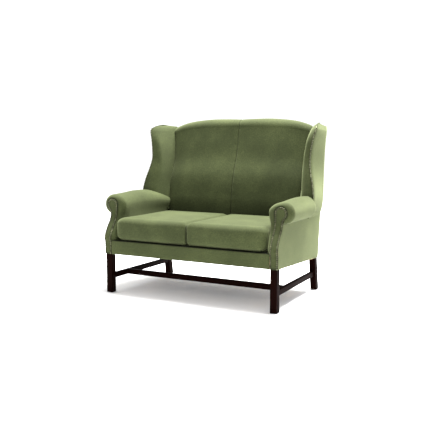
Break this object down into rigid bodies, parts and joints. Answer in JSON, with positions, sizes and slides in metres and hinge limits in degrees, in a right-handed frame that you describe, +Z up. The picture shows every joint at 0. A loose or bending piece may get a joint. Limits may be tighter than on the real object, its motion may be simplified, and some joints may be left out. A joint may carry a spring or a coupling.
{
  "type": "high back settee",
  "caption": "High back settee with padded wings, scroll arms with nailed facings, loose seat cushions and square legs joined by a stretcher frame.",
  "frame": {"origin": "on the floor below the middle of the settee", "axes": "+X to the right seen from the front, +Y towards the back, +Z up"},
  "size_m": [1.322, 0.8138, 1.121],
  "materials": {
    "velvet": "sage green velvet with a short pile",
    "velvet_shade": "the same velvet on flat tight panels",
    "mahogany": "very dark satin polish",
    "beech": "sawn and planed, unfinished",
    "foam": "upholstery foam with fibre wrap",
    "hessian": "coarse jute weave",
    "black_cloth": "thin spun cloth",
    "steel": "zinc plated",
    "bronze": "antiqued, dark bronze with worn glints"
  },
  "bodies": {
    "settee": {"leg_front_left": "mahogany", "leg_front_right": "mahogany", "leg_rear_left": "mahogany", "leg_rear_right": "mahogany", "foot_glides": "steel", "stretcher_left": "mahogany", "stretcher_right": "mahogany", "stretcher_centre": "mahogany", "rail_front": "beech", "rail_rear": "beech", "rail_left": "beech", "rail_right": "beech", "rail_middle": "beech", "corner_blocks": "beech", "leg_bolts": "steel", "seat_springs": "steel", "spring_clips": "steel", "deck_liner": "hessian", "deck_pad": "foam", "deck_cover": "velvet_shade", "front_border_cover": "velvet", "dust_cover": "black_cloth", "back_top_rail": "beech", "back_lower_rail": "beech", "back_centre_post": "beech", "back_webbing": "hessian", "back_padding": "foam", "inside_back_cover_left": "velvet", "inside_back_cover_right": "velvet", "outside_back_cover": "velvet", "arm_post_left": "beech", "arm_post_right": "beech", "arm_rail_left": "beech", "arm_rail_right": "beech", "arm_padding_left": "foam", "arm_padding_right": "foam", "arm_cover_left": "velvet", "arm_cover_right": "velvet", "arm_facing_left": "velvet_shade", "arm_facing_right": "velvet_shade", "arm_nails_left": "bronze", "arm_nails_right": "bronze", "outside_arm_cover_left": "velvet", "outside_arm_cover_right": "velvet", "wing_frame_left": "beech", "wing_frame_right": "beech", "wing_padding_left": "foam", "wing_padding_right": "foam", "wing_cover_left": "velvet", "wing_cover_right": "velvet", "outside_wing_cover_left": "velvet", "outside_wing_cover_right": "velvet", "wing_nails_left": "bronze", "wing_nails_right": "bronze"},
    "left_cushion": {"cushion_core_left": "foam", "cushion_cover_left": "velvet"},
    "right_cushion": {"cushion_core_right": "foam", "cushion_cover_right": "velvet"}
  },
  "joints": [
    {"name": "left_cushion_lift", "type": "slide", "parent": "settee", "child": "left_cushion", "axis": [0, 0, 1], "range_m": [0, 0.35]},
    {"name": "right_cushion_lift", "type": "slide", "parent": "settee", "child": "right_cushion", "axis": [0, 0, 1], "range_m": [0, 0.35]}
  ]
}
